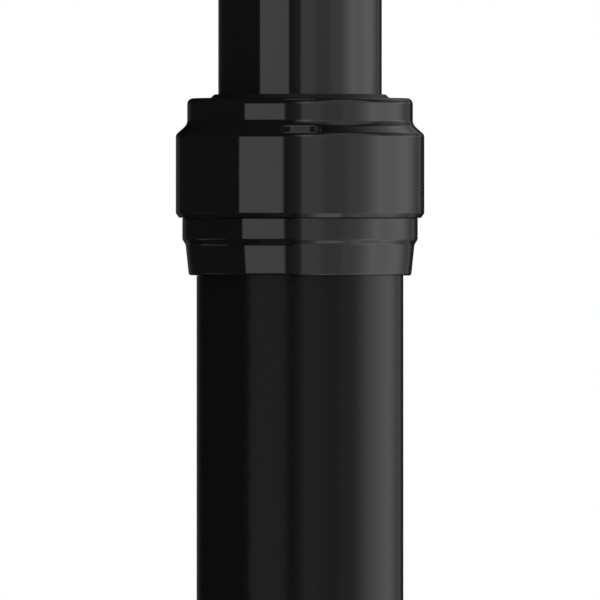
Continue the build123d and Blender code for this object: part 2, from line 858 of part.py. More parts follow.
# Floating piston between the oil and the gas, cupped on the gas side
floating_seal_z = floating_z + seal_section
with BuildPart() as floating_piston:
    with BuildSketch(Plane.XZ):
        with BuildLine():
            Polyline(
                (0, floating_z),
                (cylinder_bore_r - slide_gap, floating_z),
                (cylinder_bore_r - slide_gap, floating_seal_z),
                (cylinder_bore_r - slide_gap - seal_section, floating_seal_z),
                (cylinder_bore_r - slide_gap - seal_section, floating_seal_z + seal_section),
                (cylinder_bore_r - slide_gap, floating_seal_z + seal_section),
                (cylinder_bore_r - slide_gap, floating_top),
                (cylinder_bore_r - slide_gap - seal_section, floating_top),
                (cylinder_bore_r - slide_gap - seal_section, floating_top - floating_piston_cup),
                (0, floating_top - floating_piston_cup),
                close=True,
            )
        make_face()
    revolve(axis=Axis.Z)
floating_piston.part.label = "floating_piston"
export_step(floating_piston.part, "parts/floating_piston.step")

with BuildPart() as floating_piston_seal:
    add(o_ring(cylinder_bore_r - slide_gap, floating_seal_z + seal_section / 2))
floating_piston_seal.part.label = "floating_piston_seal"
export_step(floating_piston_seal.part, "parts/floating_piston_seal.step")

# Saddle head: sleeve bonded on the stanchion, two bolt ears and a round seat for the cradle
with BuildPart() as saddle_head:
    with BuildSketch(Plane.XY.offset(ear_z)):
        Circle(sleeve_r)
        with Locations((bolt_x, 0), (-bolt_x, 0)):
            Circle(ear_nose_dia / 2)
        make_hull()
    extrude(amount=ear_thickness)
    fillet(saddle_head.faces().sort_by(Axis.Z)[-1].edges(), ear_round)
    with BuildSketch(Plane.XY.offset(head_z)):
        Circle(sleeve_r)
    extrude(amount=ear_top - head_z)
    chamfer(saddle_head.faces().sort_by(Axis.Z)[0].edges(), sleeve_chamfer)
    with BuildSketch(Plane.XY.offset(ear_z)):
        RectangleRounded(2 * seat_half_length, seat_width, seat_corner_round)
    extrude(amount=seat_z + seat_rise - ear_z)
    fillet(saddle_head.faces().sort_by(Axis.Z)[-1].edges(), seat_edge_round)
    with BuildSketch(Plane.XZ):
        with Locations((0, tilt_z)):
            Circle(seat_r)
    extrude(amount=seat_width, both=True, mode=Mode.SUBTRACT)
    with BuildSketch(Plane.XY.offset(ear_z)):
        with Locations((bolt_x, 0), (-bolt_x, 0)):
            SlotOverall(bolt_dia + 2 * (bolt_shift + free_gap), bolt_dia + 2 * free_gap)
    extrude(amount=ear_thickness, mode=Mode.SUBTRACT)
    with BuildSketch(Plane.XY.offset(head_z)):
        Circle(stanchion_r)
    extrude(amount=stanchion_top - head_z, mode=Mode.SUBTRACT)
saddle_head.part.label = "saddle_head"
export_step(saddle_head.part, "parts/saddle_head.step")

# Lower cradle: a bridge that rocks in the head's seat, and a jaw under each rail
jaw_middle = (jaw_gap + rail_r + jaw_floor) / 2
with BuildPart() as lower_cradle:
    with BuildSketch(Plane.YZ):
        with Locations((rail_y, rail_z - jaw_middle), (-rail_y, rail_z - jaw_middle)):
            RectangleRounded(2 * jaw_half_width, rail_r + jaw_floor, jaw_round)
    extrude(amount=jaw_length / 2, both=True)
    with BuildSketch(Plane.XY.offset(rail_z - rail_r - jaw_floor - jaw_gap)):
        with Locations((0, rail_y), (0, -rail_y)):
            RectangleRounded(jaw_length, 2 * jaw_half_width, jaw_corner_round)
    extrude(amount=rail_r + jaw_floor + jaw_gap, mode=Mode.INTERSECT)
    with BuildSketch(Plane.XZ):
        with Locations((0, tilt_z)):
            Circle(cradle_r)
        with Locations((0, rail_z - jaw_gap / 2 - cradle_r)):
            Rectangle(2 * bridge_half_length, 2 * cradle_r, mode=Mode.INTERSECT)
    extrude(amount=rail_y - jaw_half_width + bridge_overlap, both=True)
    with BuildSketch(Plane.YZ):
        with Locations((rail_y, rail_z), (-rail_y, rail_z)):
            Circle(rail_r)
    extrude(amount=jaw_length, both=True, mode=Mode.SUBTRACT)
lower_cradle.part.label = "lower_cradle"
export_step(lower_cradle.part, "parts/lower_cradle.step")

# Upper clamp: a jaw over each rail, a strap across, and a trough at each end for a barrel nut
trough_outer_r = trough_r + trough_wall
trough_z = tilt_z - trough_outer_r
with BuildPart() as upper_clamp:
    with BuildSketch(Plane.YZ):
        with Locations((rail_y, rail_z + jaw_middle), (-rail_y, rail_z + jaw_middle)):
            RectangleRounded(2 * jaw_half_width, rail_r + jaw_floor, jaw_round)
    extrude(amount=jaw_length / 2, both=True)
    with BuildSketch(Plane.XY.offset(rail_z)):
        with Locations((0, rail_y), (0, -rail_y)):
            RectangleRounded(jaw_length, 2 * jaw_half_width, jaw_corner_round)
    extrude(amount=rail_r + jaw_floor + jaw_gap, mode=Mode.INTERSECT)
    with BuildSketch(Plane.XY.offset(trough_z)):
        Rectangle(2 * strap_half_length, 2 * (rail_y - jaw_half_width + bridge_overlap))
        Rectangle(2 * bolt_x, barrel_nut_length)
    extrude(amount=strap_thickness)
    with BuildSketch(Plane.XZ):
        with Locations((bolt_x, tilt_z), (-bolt_x, tilt_z)):
            Circle(trough_outer_r)
        with Locations((0, tilt_z - trough_outer_r)):
            Rectangle(4 * bolt_x, 2 * trough_outer_r, mode=Mode.INTERSECT)
    extrude(amount=barrel_nut_length / 2, both=True)
    with BuildSketch(Plane.XZ):
        with Locations((bolt_x, tilt_z), (-bolt_x, tilt_z)):
            Circle(trough_r)
    extrude(amount=barrel_nut_length, both=True, mode=Mode.SUBTRACT)
    slot_half_length = bolt_r / cos(tilt_limit) + trough_outer_r * tan(tilt_limit) + free_gap
    with BuildSketch(Plane.XY.offset(trough_z)):
        with Locations((bolt_x, 0), (-bolt_x, 0)):
            SlotOverall(2 * slot_half_length, bolt_dia + 2 * free_gap)
    extrude(amount=trough_outer_r, mode=Mode.SUBTRACT)
    with BuildSketch(Plane.YZ):
        with Locations((rail_y, rail_z), (-rail_y, rail_z)):
            Circle(rail_r)
    extrude(amount=jaw_length, both=True, mode=Mode.SUBTRACT)
upper_clamp.part.label = "upper_clamp"
export_step(upper_clamp.part, "parts/upper_clamp.step")

# Two barrel nuts, bolts and washers, the same in front of and behind the post
for side, place in (("front", bolt_x), ("rear", -bolt_x)):
    with BuildPart() as barrel_nut:
        with BuildSketch(Plane.XZ):
            with Locations((place, tilt_z)):
                Circle(barrel_nut_r)
        extrude(amount=barrel_nut_length / 2, both=True)
        fillet(barrel_nut.edges().filter_by(GeomType.CIRCLE), barrel_nut_round)
        with BuildSketch(Plane.XY.offset(tilt_z - barrel_nut_r)):
            with Locations((place, 0)):
                Circle(bolt_r + slide_gap)
        extrude(amount=barrel_nut_dia, mode=Mode.SUBTRACT)
        with BuildSketch(Plane.XZ.offset(barrel_nut_length / 2 - nut_slot_depth)):
            with Locations((place, tilt_z)):
                Rectangle(barrel_nut_dia, nut_slot_width)
        extrude(amount=nut_slot_depth, mode=Mode.SUBTRACT)
    barrel_nut.part.label = f"{side}_barrel_nut"
    export_step(barrel_nut.part, f"parts/{side}_barrel_nut.step")

    with BuildPart() as clamp_bolt:
        with BuildSketch(Plane.XY.offset(washer_z - bolt_head_height)):
            with Locations((place, 0)):
                Circle(bolt_head_dia / 2)
        extrude(amount=bolt_head_height)
        with BuildSketch(Plane.XY.offset(washer_z)):
            with Locations((place, 0)):
                Circle(bolt_r)
        extrude(amount=bolt_top - washer_z)
        chamfer(clamp_bolt.faces().sort_by(Axis.Z)[-1].edges(), bolt_chamfer)
        fillet(clamp_bolt.faces().sort_by(Axis.Z)[0].edges(), bolt_chamfer)
        with BuildSketch(Plane.XY.offset(washer_z - bolt_head_height)):
            with Locations((place, 0)):
                RegularPolygon(bolt_hex / 2, 6, major_radius=False)
        extrude(amount=bolt_hex_depth, mode=Mode.SUBTRACT)
    clamp_bolt.part.label = f"{side}_clamp_bolt"
    export_step(clamp_bolt.part, f"parts/{side}_clamp_bolt.step")

    with BuildPart() as bolt_washer:
        with BuildSketch(Plane.XY.offset(washer_z)):
            with Locations((place, 0)):
                Circle(washer_r)
                Circle(bolt_r, mode=Mode.SUBTRACT)
        extrude(amount=washer_thickness)
    bolt_washer.part.label = f"{side}_bolt_washer"
    export_step(bolt_washer.part, f"parts/{side}_bolt_washer.step")
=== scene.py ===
# %% [markdown]
# # A dropper seatpost, dressed for the camera
# A dropper seatpost is a telescope: a polished tube slides in a wider one, and a smooth nut at
# the joint holds the seals. The solid model arrives as a fixed frame with every part in its place.
# In Blender we keep that frame and give each visible part its fine shape and its finish.

# %% Load the frame
import json
import math

import bmesh
import bpy
from mathutils import Matrix, Vector


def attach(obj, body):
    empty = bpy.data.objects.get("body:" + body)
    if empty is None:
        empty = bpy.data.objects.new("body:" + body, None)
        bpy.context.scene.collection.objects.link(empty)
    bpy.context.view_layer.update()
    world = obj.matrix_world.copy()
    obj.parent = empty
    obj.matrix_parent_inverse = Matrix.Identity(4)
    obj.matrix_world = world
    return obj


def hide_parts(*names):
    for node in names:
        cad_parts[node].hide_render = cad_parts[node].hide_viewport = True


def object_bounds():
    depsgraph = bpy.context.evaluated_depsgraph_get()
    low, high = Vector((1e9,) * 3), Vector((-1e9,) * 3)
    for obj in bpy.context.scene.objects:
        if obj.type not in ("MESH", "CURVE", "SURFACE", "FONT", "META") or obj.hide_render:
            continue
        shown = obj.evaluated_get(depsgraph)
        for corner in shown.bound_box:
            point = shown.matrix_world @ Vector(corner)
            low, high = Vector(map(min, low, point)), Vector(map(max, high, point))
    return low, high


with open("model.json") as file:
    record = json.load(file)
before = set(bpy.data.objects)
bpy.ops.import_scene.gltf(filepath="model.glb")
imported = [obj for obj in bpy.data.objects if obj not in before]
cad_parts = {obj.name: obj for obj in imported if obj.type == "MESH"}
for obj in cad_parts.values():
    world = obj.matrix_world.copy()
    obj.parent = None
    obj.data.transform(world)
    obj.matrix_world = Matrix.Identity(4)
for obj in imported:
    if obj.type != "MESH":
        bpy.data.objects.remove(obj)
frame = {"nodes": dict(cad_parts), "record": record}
cad_low, cad_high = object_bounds()
MM = 0.001
scene = bpy.context.scene
print("frame:", len(frame["nodes"]), "parts,", [round(x / MM, 1) for x in cad_high - cad_low], "mm")

# %% [markdown]
# ## The camera
# The photograph looks level at the collar from far away, so the tube's sides stay parallel.
# A long lens does the same here: we choose the distance, and work out the focal length that
# fits the width of the picture, 91.68 mm of the real object.

# %% Camera
PICTURE_WIDTH = 91.68 * MM
PICTURE_MIDDLE = -3.73 * MM
CAMERA_DISTANCE = 4.0
SENSOR = 36

camera = bpy.data.objects.new("camera", bpy.data.cameras.new("camera"))
camera.data.sensor_width = SENSOR
camera.data.lens = SENSOR * CAMERA_DISTANCE / PICTURE_WIDTH
camera.data.clip_end = 100
camera.location = (0, -CAMERA_DISTANCE, PICTURE_MIDDLE)
camera.rotation_euler = (math.radians(90), 0, 0)
scene.collection.objects.link(camera)
scene.camera = camera
scene.view_settings.view_transform = "Standard"
print("focal length", round(camera.data.lens), "mm")

# %% [markdown]
# ## A helper for nodes and one for colours
# Every finish below is a small network of nodes. One function adds a node, sets it and wires it.
# Colours are written as sRGB hex values, the way a colour picker shows them, and the renderer
# wants them linear, so one function turns them.

# %% Node and colour helpers
def add_node(tree, kind, settings=None, inputs=None):
    """Adds a node. An input may be a number, a colour or another node's output socket."""
    node = tree.nodes.new(kind)
    for name, value in (settings or {}).items():
        setattr(node, name, value)
    for name, value in (inputs or {}).items():
        if isinstance(value, bpy.types.NodeSocket):
            tree.links.new(value, node.inputs[name])
        else:
            node.inputs[name].default_value = value
    return node


def linear(code):
    """The linear colour of an sRGB hex value such as #0E0E0F."""
    shares = [int(code[i:i + 2], 16) / 255 for i in (1, 3, 5)]
    return [s / 12.92 if s <= 0.04045 else ((s + 0.055) / 1.055) ** 2.4 for s in shares] + [1]


print("#808080 is", round(linear("#808080")[0], 3), "in linear light")

# %% [markdown]
# ## The studio
# Gloss black shows almost nothing of its own colour: what we see is the room. So the room is
# built with care, as a photographer builds it, and drawn in the world by direction: it stays put
# when the camera walks round. Two angles in degrees name a direction. The turn is 0 towards the
# camera and grows to the right, and the rise is the height above the horizon.

# %% Directions in the room
DEGREES = 180 / math.pi

world = bpy.data.worlds.new("studio")
world.use_nodes = True
world.cycles.sampling_method = "NONE"
scene.world = world
studio = world.node_tree
studio.nodes.clear()


def compute(operation, *values):
    """A Math node of the studio, with those inputs. Returns its output."""
    return add_node(studio, "ShaderNodeMath", {"operation": operation}, dict(enumerate(values))).outputs[0]


def ramped(place, dark_at, bright_at, interpolation="LINEAR"):
    """Goes from 0 to 1 as the place goes from dark_at to bright_at. Returns the output."""
    return add_node(studio, "ShaderNodeMapRange", {"interpolation_type": interpolation},
                    {"Value": place, "From Min": dark_at, "From Max": bright_at}).outputs[0]


direction = add_node(studio, "ShaderNodeTexCoord").outputs["Generated"]
along = add_node(studio, "ShaderNodeSeparateXYZ", inputs={0: direction}).outputs
towards_camera = compute("MULTIPLY", along["Y"], -1.0)
sideways = compute("ABSOLUTE", along["X"])
turn = compute("MULTIPLY", compute("ARCTAN2", along["X"], towards_camera), DEGREES)
rise = compute("MULTIPLY", compute("ARCSINE", along["Z"]), DEGREES)
print("studio:", len(studio.nodes), "nodes find the direction")

# %% [markdown]
# A wide soft panel stands to the right and leans over the object, and a narrower one stands to the
# left. Their light is one level by turn times one level by rise, each a grey ramp through stops
# that were found by comparing the reflections with the photograph's. The ramps are kept between
# 0 and 1: each level is divided by a peak, and both peaks are multiplied back at the end.
# To lean the right panel, its stops move round by the rise above the horizon, not at all straight
# ahead and in full from a turn of 60 degrees.

# %% Two panels
PANELS = [(-180, 1.0), (-176, 1.0), (-174, 0.04), (-157, 0.06), (-148, 0.01), (-59, 0.005),
          (-58.2, 1.1), (-16, 1.1), (-15, 0.05), (-6, 0.12), (-0.5, 0.2), (1.0, 0.35), (2.0, 0.83),
          (18, 0.82), (25, 0.62), (41, 0.62), (46, 0.80), (57, 0.84), (63, 1.05), (70, 1.37),
          (80, 1.88), (91, 1.52), (108, 1.36), (118, 1.05), (131, 0.45), (139, 0.22), (147, 0.24),
          (155, 0.04), (180, 0.0)]
HEIGHTS = [(-90, 0.3), (-80, 0.7), (-75, 0.95), (-71, 0.56), (-66, 0.48), (-62, 0.4), (-54, 0.62),
           (-47, 0.74), (-40, 1.0), (-31, 1.2), (-20, 1.0), (2, 1.0), (5, 1.3), (12, 1.2),
           (27, 0.78), (40, 0.46), (54, 0.20), (66, 0.10), (76, 0.0), (90, 0.0)]
LEFT_HEIGHTS = [(-90, 0.05), (-50, 0.08), (-17, 0.05), (-15, 1.0), (1.8, 1.0), (3.4, 0.0), (90, 0.0)]
PANEL_PEAK, HEIGHT_PEAK = 2.0, 1.4
FULL_LEAN_TURN = 60.0
RIGHT_PANEL_TURN = -8.0


def levels(place, stops, reach, peak):
    """A grey ramp through stops (place, level), for places from -reach to reach degrees."""
    ramp = add_node(studio, "ShaderNodeValToRGB", inputs={"Fac": ramped(place, -reach, reach)})
    elements = ramp.color_ramp.elements
    while len(elements) < len(stops):
        elements.new(0.5)
    for element, (at, level) in zip(elements, stops):
        element.position = (at + reach) / (2 * reach)
        element.color = (level / peak, level / peak, level / peak, 1)
    return ramp.outputs[0]


lean = compute("MULTIPLY", compute("MAXIMUM", rise, 0.0), ramped(turn, 0.0, FULL_LEAN_TURN))
panels = levels(compute("SUBTRACT", turn, lean), PANELS, 180, PANEL_PEAK)
height = add_node(studio, "ShaderNodeMix", {"data_type": "FLOAT"},
                  {"Factor": compute("GREATER_THAN", turn, RIGHT_PANEL_TURN),
                   "A": levels(rise, LEFT_HEIGHTS, 90, HEIGHT_PEAK),
                   "B": levels(rise, HEIGHTS, 90, HEIGHT_PEAK)}).outputs[0]
side_light = compute("MULTIPLY", compute("MULTIPLY", panels, height), PANEL_PEAK * HEIGHT_PEAK)
print("studio:", len(PANELS), "stops round the object,", len(HEIGHTS), "from floor to ceiling")

# %% [markdown]
# Small cards are added: a low one at the left and back, which gives those sides their shape, one
# on the ground in front, which lights the lower edges, one overhead, one straight in front and one
# above the right panel. Beside the last hangs a flag, as photographers call a black cloth: it
# darkens the fillets on the right. A card is a product of soft edges, and each edge says where it
# is dark and where it is bright.

# %% Cards and a flag
BACK_LEAN = 0.8
leant_back = compute("MULTIPLY_ADD", rise, BACK_LEAN, turn)
CARDS = [(0.28, ((turn, -127, -121), (turn, -78, -84), (rise, -10, -14), (rise, -28, -22))),
         (1.0, ((turn, 12, 34), (turn, 72, 62), (rise, -54, -60), (rise, -82, -73))),
         (1.0, ((sideways, 0.147, 0.130), (towards_camera, -0.10, -0.08), (towards_camera, 0.16, 0.14),
                (rise, 60, 70))),
         (0.7, ((turn, -6, -1), (turn, 14, 8), (rise, 4, 7), (rise, 28, 22))),
         (0.45, ((turn, 30, 44), (turn, 96, 80), (rise, 20, 34), (rise, 72, 58)))]
FLAG = (0.68, ((turn, 76, 92), (leant_back, 174, 165), (rise, 2, 14), (rise, 62, 54)))


def soft_card(level, soft_edges):
    """A card in the room: its level times a soft edge for each (place, dark at, bright at)."""
    for edge in soft_edges:
        level = compute("MULTIPLY", level, ramped(*edge, "SMOOTHSTEP"))
    return level


room = compute("MULTIPLY", side_light, compute("SUBTRACT", 1.0, soft_card(*FLAG)))
for card in CARDS:
    room = compute("ADD", room, soft_card(*card))
print("studio:", len(CARDS), "cards and a flag")

# %% [markdown]
# Only reflections, and light that passes through something, see this room. Matt surfaces get an
# even light instead, and the camera sees plain white.

# %% Who sees the room
FILL = 0.95

paths = add_node(studio, "ShaderNodeLightPath").outputs
shiny = compute("MAXIMUM", paths["Is Glossy Ray"], paths["Is Transmission Ray"])
even = add_node(studio, "ShaderNodeMix", {"data_type": "FLOAT"}, {"Factor": shiny, "A": FILL, "B": room})
seen = add_node(studio, "ShaderNodeMix", {"data_type": "FLOAT"},
                {"Factor": paths["Is Camera Ray"], "A": even.outputs[0], "B": 1.0})
light = add_node(studio, "ShaderNodeBackground", inputs={"Color": seen.outputs[0], "Strength": 1.0})
add_node(studio, "ShaderNodeOutputWorld", inputs={"Surface": light.outputs[0]})
print("studio:", len(studio.nodes), "nodes in all")

# %% [markdown]
# One large lamp to the front right adds a direction, so that matt parts have a light and a shaded
# side and the floor takes a soft shadow. It is kept out of reflections, where the room is enough.

# %% Key lamp
key = bpy.data.objects.new("key_lamp", bpy.data.lights.new("key_lamp", "AREA"))
key.data.shape = "DISK"
key.data.size = 1.2
key.data.energy = 14
key.location = (1.3, -1.6, 1.7)
key.rotation_euler = (-key.location).to_track_quat("-Z", "Y").to_euler()
key.visible_glossy = False
scene.collection.objects.link(key)
print("key lamp", round(key.location.length, 2), "m away")

# %% [markdown]
# ## Building shapes from rings
# Almost every part was turned on a lathe, so one tool makes them: it lays rings of points at
# chosen radii and heights and skins them. A radius may also change round the ring, which gives
# hexagons, knurls and threads. Heights and radii are in millimetres, and so is the unrolled
# surface (UV), which a grain can follow.

# %% Ring builder
CREASE = math.radians(32)


def skin(name, steps, segments=192, closed=False):
    """Skins rings given as (radius, height). A radius may be a function of the angle."""
    shape = bmesh.new()
    uv = shape.loops.layers.uv.new("millimetres")
    angles = [2 * math.pi * i / segments for i in range(segments)]
    rings, along_profile = [], [0.0]
    for radius, height in steps:
        at = radius if callable(radius) else (lambda angle, r=radius: r)
        rings.append([shape.verts.new((at(a) * math.cos(a) * MM, at(a) * math.sin(a) * MM, height * MM))
                      for a in angles])
    pairs = list(zip(rings, rings[1:] + rings[:1]))
    for here, there in pairs:
        along_profile.append(along_profile[-1] + (here[0].co - there[0].co).length / MM)
    for row, (here, there) in enumerate(pairs if closed else pairs[:-1]):
        for i in range(segments):
            k = (i + 1) % segments
            face = shape.faces.new((here[i], here[k], there[k], there[i]))
            reach = max(here[i].co.xy.length, there[i].co.xy.length) / MM
            around = [2 * math.pi * reach * (i + step) / segments for step in (0, 1, 1, 0)]
            for loop, u, v in zip(face.loops, around, (row, row, row + 1, row + 1)):
                loop[uv].uv = (u, along_profile[v])
    if not closed:
        shape.faces.new(list(reversed(rings[0])))
        shape.faces.new(rings[-1])
    bmesh.ops.recalc_face_normals(shape, faces=shape.faces)
    mesh = bpy.data.meshes.new(name)
    shape.to_mesh(mesh)
    shape.free()
    mesh.shade_smooth()
    mesh.set_sharp_from_angle(angle=CREASE)
    piece = bpy.data.objects.new(name, mesh)
    scene.collection.objects.link(piece)
    return piece


print("ring builder ready, creases over", round(CREASE * DEGREES), "degrees stay sharp")

# %% [markdown]
# A turned part's outline is a row of straight runs with rounded corners. We write it as the
# machinist's drawing does: corner points with a radius each. The next helper works out the arcs.
# It also puts a point close to each end of a straight run, which keeps the shading of the run
# flat and the highlight on the round crisp.

# %% Outline helper
HOLD = 0.06
ARC_STEP = math.radians(8)


def outline(corners):
    """Points of a closed outline from corners (r, z) or (r, z, rounding), in millimetres."""
    points = []
    for i, corner in enumerate(corners):
        here = Vector(corner[:2])
        before = (Vector(corners[i - 1][:2]) - here).normalized()
        after = (Vector(corners[(i + 1) % len(corners)][:2]) - here).normalized()
        if len(corner) == 2:
            points.append(tuple(here))
            continue
        rounding, half = corner[2], before.angle(after) / 2
        reach = rounding / math.tan(half)
        middle = here + (before + after).normalized() * rounding / math.sin(half)
        first, last = here + before * reach, here + after * reach
        points.append(tuple(first + before * HOLD))
        sweep = math.pi - 2 * half
        steps = max(3, round(sweep / ARC_STEP))
        arm = first - middle
        way = 1 if arm.x * (last - middle).y - arm.y * (last - middle).x > 0 else -1
        for step in range(steps + 1):
            turned = way * sweep * step / steps
            points.append((middle.x + arm.x * math.cos(turned) - arm.y * math.sin(turned),
                           middle.y + arm.x * math.sin(turned) + arm.y * math.cos(turned)))
        points.append(tuple(last + after * HOLD))
    return points


square = outline([(5, 0, .2), (6, 0, .2), (6, 1, .2), (5, 1, .2)])
print("a 1 mm square with 0.2 mm corners has", len(square), "points")

# %% [markdown]
# A piece that we build stands for a part of the solid model. It hides that part, rides on the same moving
# body, and gets the finish that it is given.

# %% Dress a piece
def dress(piece, node, finish):
    """The piece stands for a CAD part: it hides the part, takes its body, and gets its own finish."""
    body = next(b for b, nodes in frame["record"]["behaviour"]["bodies"].items() if node in nodes)
    piece.data.materials.clear()
    piece.data.materials.append(finish)
    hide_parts(node)
    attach(piece, body)
    return piece


def turned(name, corners, node, finish, segments=256, x=0.0):
    """A part turned from a closed outline, on an upright axis at x, that stands for a CAD part."""
    piece = skin(name, outline(corners), segments, closed=True)
    piece.data.transform(Matrix.Translation((x * MM, 0, 0)))
    return dress(piece, node, finish)


# %% [markdown]
# ## Finishes
# A finish starts with what the surface is. Each of these functions returns a Principled material
# whose plain values sit on the shader's own sockets. The fine detail comes from noise at a real
# scale, in millimetres, that moves the surface a hair (bump) or its roughness a little.

# %% Plain material helper
def new_finish(name, colour, roughness, metallic=0.0, ior=1.5):
    """A material with those plain values. Returns it with its node tree and its shader."""
    finish = bpy.data.materials.new(name)
    finish.use_nodes = True
    shader = finish.node_tree.nodes["Principled BSDF"]
    shader.inputs["Base Color"].default_value = linear(colour)
    shader.inputs["Roughness"].default_value = roughness
    shader.inputs["Metallic"].default_value = metallic
    shader.inputs["IOR"].default_value = ior
    finish.diffuse_color = linear(colour)
    return finish, finish.node_tree, shader


def in_millimetres(tree, stretch=(1.0, 1.0, 1.0)):
    """The place on the part in mm, so that a scale of 1 is one grain per mm, times a stretch."""
    place = add_node(tree, "ShaderNodeTexCoord").outputs["Object"]
    counted = add_node(tree, "ShaderNodeVectorMath", {"operation": "MULTIPLY"},
                       {0: place, 1: [s / MM for s in stretch]})
    return counted.outputs[0]


def grainy(tree, shader, place, grain, depth, low, high, detail=2.0):
    """Noise of that grain in mm: a bump of that depth in mm, and a roughness from low to high."""
    noise = add_node(tree, "ShaderNodeTexNoise",
                     inputs={"Vector": place, "Scale": 1 / grain, "Detail": detail}).outputs["Fac"]
    bump = add_node(tree, "ShaderNodeBump",
                    inputs={"Height": noise, "Strength": 1.0, "Distance": depth * MM})
    spread = add_node(tree, "ShaderNodeMapRange",
                      inputs={"Value": noise, "From Min": 0.3, "From Max": 0.7, "To Min": low,
                              "To Max": high})
    tree.links.new(spread.outputs[0], shader.inputs["Roughness"])
    tree.links.new(bump.outputs[0], shader.inputs["Normal"])


print("finishes start here")

# %% [markdown]
# **Hard anodised aluminium, gloss black.** The stanchion is ground and lapped, then anodised, so a
# clear hard layer covers a black ground. To the eye it is a dark mirror. Lapping leaves a soft
# ripple, about 2 mm long and far thinner than a hair.

# %% Gloss black hard anodised aluminium
gloss_black, tree, shader = new_finish("hard_anodised_aluminium_gloss_black", "#101011", 0.05)
grainy(tree, shader, in_millimetres(tree), grain=2.2, depth=0.0004, low=0.035, high=0.055)
print(gloss_black.name)

# %% [markdown]
# **Polished, black anodised aluminium.** The collar's nut and base are turned, polished and
# anodised. The polish leaves the reflections nearly sharp, and a trace of the turning rings
# stays, about 0.4 mm apart: the noise is stretched level, which makes rings of it.

# %% Polished black anodised aluminium
polished_black, tree, shader = new_finish("black_anodised_aluminium_polished", "#101011", 0.055)
rings_only = in_millimetres(tree, (0.02, 0.02, 1.0))
grainy(tree, shader, rings_only, grain=0.4, depth=0.0002, low=0.04, high=0.065)
print(polished_black.name)

# %% [markdown]
# **Satin black anodised aluminium.** The lower tube is blasted with fine beads before it is
# anodised, which spreads each reflection into a soft glow. Up close it has a fine grain that
# slants along the tube. The grain is near 0.3 mm wide and three times as long, so on the unrolled
# tube the noise is turned first and then stretched along that slant. Towards its edges the tube
# shines more, so a thin coat comes in where the surface turns away from the eye.

# %% Satin black anodised aluminium
satin_black, tree, shader = new_finish("bead_blasted_aluminium_satin_black", "#0C0C0C", 0.22, ior=1.25)
unrolled = add_node(tree, "ShaderNodeUVMap", {"uv_map": "millimetres"}).outputs[0]
slanted = add_node(tree, "ShaderNodeMapping", {"vector_type": "TEXTURE"},
                   {"Vector": unrolled, "Rotation": (0, 0, math.radians(42)), "Scale": (1.0, 3.3, 1.0)})
grainy(tree, shader, slanted.outputs[0], grain=0.33, depth=0.012, low=0.17, high=0.24, detail=1.0)
edge_on = add_node(tree, "ShaderNodeLayerWeight").outputs["Facing"]
seal_coat = add_node(tree, "ShaderNodeMapRange",
                     inputs={"Value": edge_on, "From Min": 0.15, "From Max": 0.36, "To Min": 0.0,
                             "To Max": 0.40})
tree.links.new(seal_coat.outputs[0], shader.inputs["Coat Weight"])
shader.inputs["Coat Roughness"].default_value = 0.12
print(satin_black.name)

# %% [markdown]
# **Black alloy.** The saddle head, its clamps, and the actuator under the tube are forged or milled,
# blasted and anodised black. Their bead-blasted skin is dull, with a fine even grain of 0.2 mm.

# %% Bead-blasted black alloy
black_alloy, tree, shader = new_finish("bead_blasted_aluminium_black_anodised", "#1B1B1D", 0.42)
grainy(tree, shader, in_millimetres(tree), grain=0.2, depth=0.006, low=0.36, high=0.5, detail=3.0)
print(black_alloy.name)

# %% [markdown]
# **Bare turned aluminium.** The parts of the cartridge and the lever are turned and left bare.
# The tool leaves rings about 0.15 mm apart, which stretch a highlight across them.

# %% Bare turned aluminium
bare_alloy, tree, shader = new_finish("aluminium_turned", "#D9DADC", 0.28, metallic=1.0)
rings_only = in_millimetres(tree, (0.03, 0.03, 1.0))
grainy(tree, shader, rings_only, grain=0.15, depth=0.004, low=0.2, high=0.36)
print(bare_alloy.name)

# %% [markdown]
# **Steels.** The barrel nuts are blackened in a hot salt bath, which gives a deep grey skin with a
# low sheen. Bolts, washers, pin and clips are zinc plated: brighter, with a slight cloudiness
# from the plating tank, in patches of about 1.5 mm.

# %% Black and zinc plated steel
black_steel, tree, shader = new_finish("steel_black_oxide", "#3A3A3D", 0.34, metallic=1.0)
grainy(tree, shader, in_millimetres(tree), grain=0.5, depth=0.003, low=0.28, high=0.42)
zinc_steel, tree, shader = new_finish("steel_zinc_plated", "#C3C6CA", 0.27, metallic=1.0)
grainy(tree, shader, in_millimetres(tree), grain=1.5, depth=0.002, low=0.2, high=0.34)
print(black_steel.name, zinc_steel.name)

# %% [markdown]
# **Brass** for the keys and the cable barrel, turned and a little dulled by handling.
# **Acetal** for the bushings: a moulded, waxy plastic.
# **Nitrile rubber** for wiper and rings: nearly black, with a soft broad sheen.
# **Open foam** for the oiled ring under the wiper, whose cells are near 0.5 mm.

# %% Brass, plastic, rubber and foam
brass, tree, shader = new_finish("brass_turned", "#D8B66A", 0.3, metallic=1.0)
grainy(tree, shader, in_millimetres(tree), grain=0.4, depth=0.002, low=0.22, high=0.4)
acetal, tree, shader = new_finish("acetal_moulded", "#6E6D68", 0.45, ior=1.48)
grainy(tree, shader, in_millimetres(tree), grain=0.8, depth=0.004, low=0.4, high=0.52)
rubber, tree, shader = new_finish("nitrile_rubber_moulded", "#101010", 0.5, ior=1.52)
grainy(tree, shader, in_millimetres(tree), grain=0.25, depth=0.003, low=0.4, high=0.55)
foam, tree, shader = new_finish("polyurethane_foam_oiled", "#8B857A", 0.85)
cells = add_node(tree, "ShaderNodeTexVoronoi", inputs={"Vector": in_millimetres(tree), "Scale": 2.0})
holes = add_node(tree, "ShaderNodeBump", inputs={"Height": cells.outputs["Distance"], "Distance": 0.2 * MM})
tree.links.new(holes.outputs[0], shader.inputs["Normal"])
print(brass.name, acetal.name, rubber.name, foam.name)

# %% [markdown]
# Every CAD part gets the finish of its material slot, also those that are hidden inside the
# tubes, so that the model is complete when someone takes it apart.

